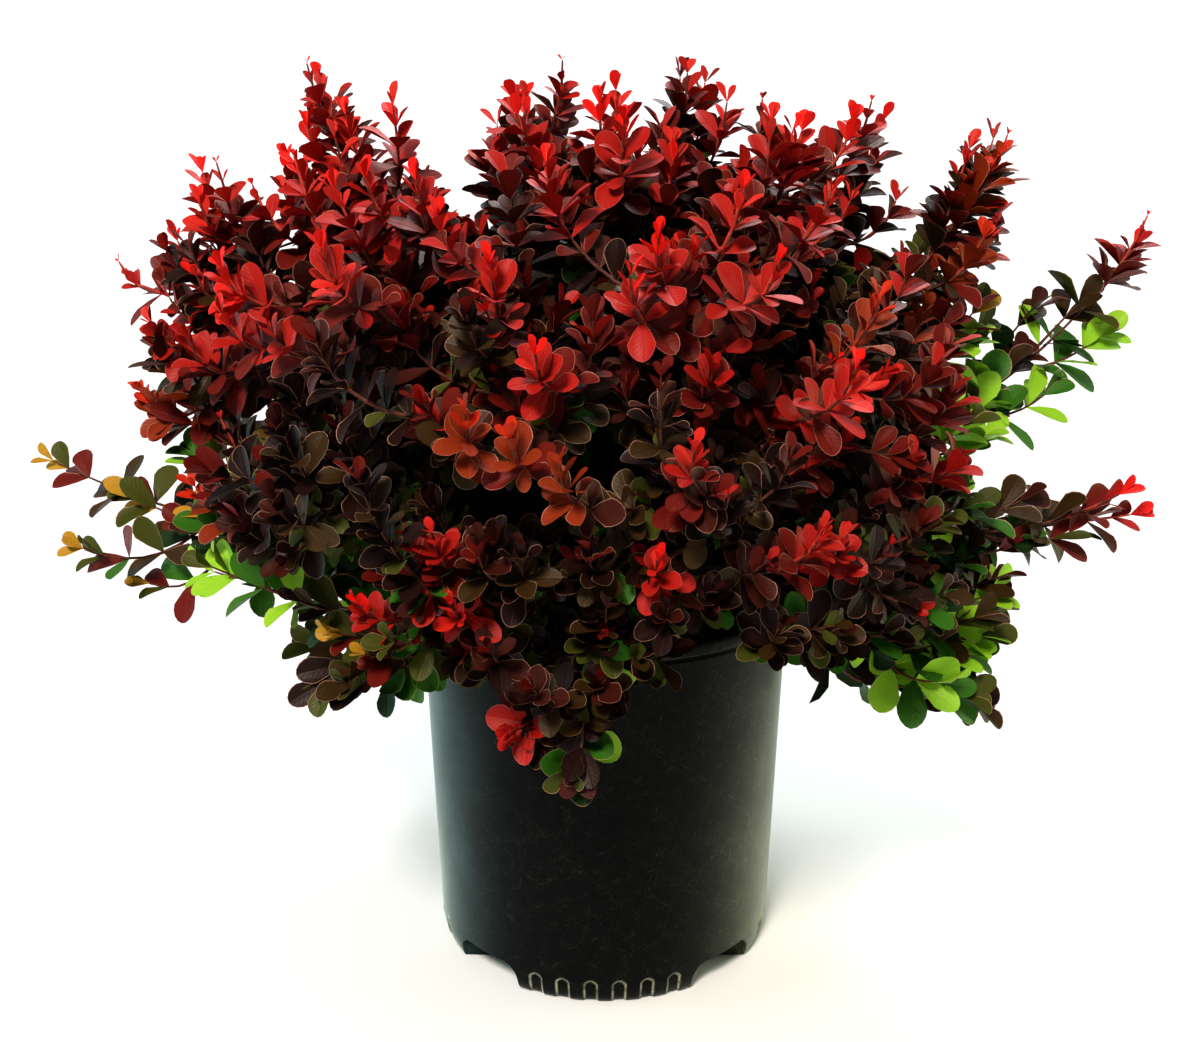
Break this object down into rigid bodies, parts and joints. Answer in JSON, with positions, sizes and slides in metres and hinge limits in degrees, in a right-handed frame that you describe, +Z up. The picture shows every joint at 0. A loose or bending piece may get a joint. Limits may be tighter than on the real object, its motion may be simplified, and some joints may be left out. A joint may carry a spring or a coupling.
{
  "type": "potted crimson pygmy japanese barberry",
  "caption": "Mounded red-leaved barberry shrub in a round tapered black nursery pot with arched feet; upright leafy shoots on thin canes.",
  "frame": {"origin": "middle of the pot's flat underside, on the surface it stands on", "axes": "+Z up, -Y the front that the picture shows, +X to the right seen from the front"},
  "size_m": [0.7019, 0.5125, 0.5418],
  "materials": {
    "pot_plastic": "satin black blow-moulded plastic, lightly scuffed",
    "potting_mix": "moist composted bark",
    "bark": "thin grey-brown ridged bark",
    "leaves": "satin leaves, scarlet at the tips to maroon and green inside"
  },
  "bodies": {
    "root": {"pot": "pot_plastic", "soil": "potting_mix", "root_crown": "bark", "cane_back_left_low": "bark", "cane_back_left_upper": "bark", "cane_back_low": "bark", "cane_back_right_low": "bark", "cane_back_right_upper": "bark", "cane_back_upper": "bark", "cane_front_centre_left": "bark", "cane_front_centre_right": "bark", "cane_front_drape": "bark", "cane_front_left": "bark", "cane_front_left_upper": "bark", "cane_front_low_left": "bark", "cane_front_mid_right": "bark", "cane_front_right": "bark", "cane_front_right_low": "bark", "cane_left_low_shoot": "bark", "cane_left_shoulder": "bark", "cane_lower_left_drop": "bark", "cane_right_long_shoot": "bark", "cane_right_low": "bark", "cane_right_mid_shoot": "bark", "cane_right_spire": "bark", "cane_top_centre": "bark", "cane_top_centre_left": "bark", "cane_top_centre_right": "bark", "cane_top_right": "bark", "cane_upper_left_spire": "bark", "cane_upper_right": "bark", "foliage_back_left_low": "leaves", "foliage_back_left_upper": "leaves", "foliage_back_low": "leaves", "foliage_back_right_low": "leaves", "foliage_back_right_upper": "leaves", "foliage_back_upper": "leaves", "foliage_front_centre_left": "leaves", "foliage_front_centre_right": "leaves", "foliage_front_drape": "leaves", "foliage_front_left": "leaves", "foliage_front_left_upper": "leaves", "foliage_front_low_left": "leaves", "foliage_front_mid_right": "leaves", "foliage_front_right": "leaves", "foliage_front_right_low": "leaves", "foliage_left_low_shoot": "leaves", "foliage_left_shoulder": "leaves", "foliage_lower_left_drop": "leaves", "foliage_right_long_shoot": "leaves", "foliage_right_low": "leaves", "foliage_right_mid_shoot": "leaves", "foliage_right_spire": "leaves", "foliage_top_centre": "leaves", "foliage_top_centre_left": "leaves", "foliage_top_centre_right": "leaves", "foliage_top_right": "leaves", "foliage_upper_left_spire": "leaves", "foliage_upper_right": "leaves"}
  },
  "joints": []
}
